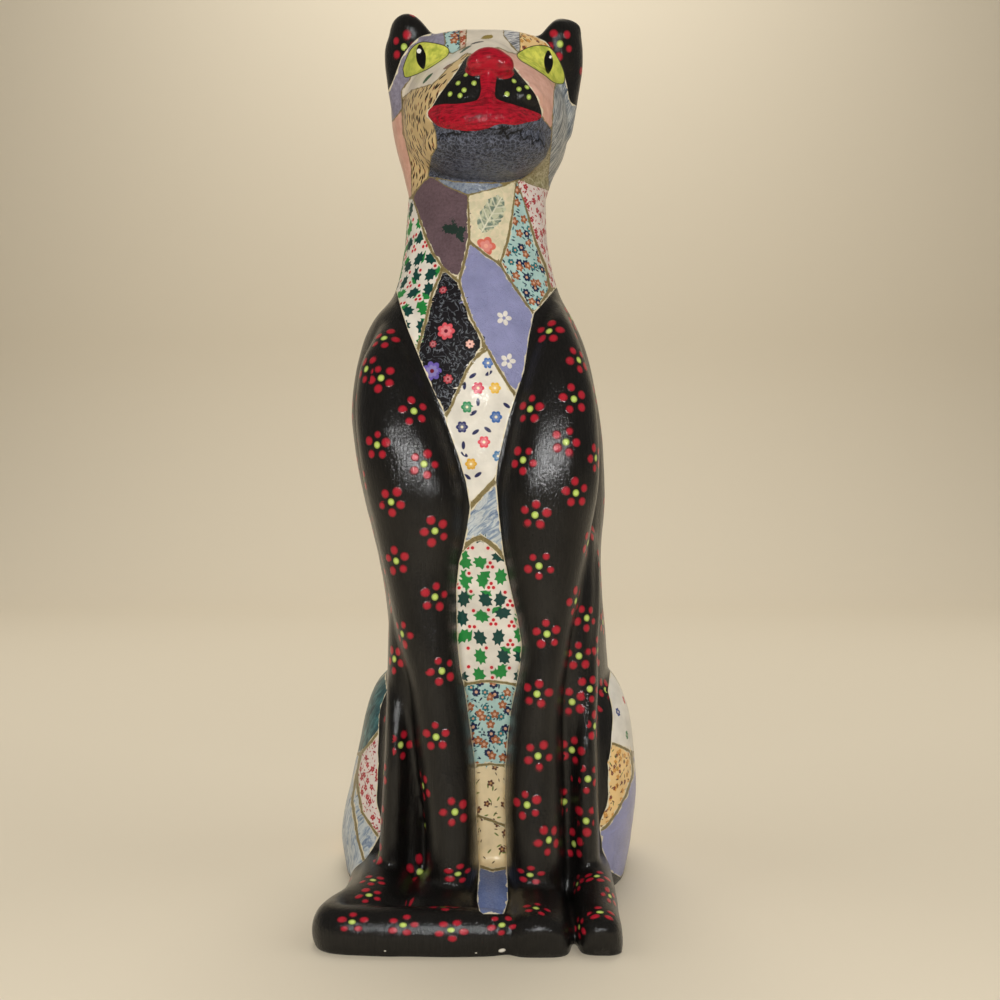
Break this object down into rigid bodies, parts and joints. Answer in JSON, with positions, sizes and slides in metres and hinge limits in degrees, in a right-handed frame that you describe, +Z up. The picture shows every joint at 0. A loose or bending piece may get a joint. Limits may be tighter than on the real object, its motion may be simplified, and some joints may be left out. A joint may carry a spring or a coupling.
{
  "type": "papier-mache cat",
  "caption": "Tall sitting papier-mache cat ornament with lacquered black legs, painted dot flowers and pasted calico paper patches.",
  "frame": {"origin": "on the flat underside, between the feet and the haunches", "axes": "+Z up through the ears, -Y out of the face and chest, +X to the cat's own left"},
  "size_m": [0.1381, 0.161, 0.3756],
  "materials": {
    "lacquered_paper": "glossy lacquer over pasted and painted paper"
  },
  "bodies": {
    "root": {"cat": "lacquered_paper"}
  },
  "joints": []
}
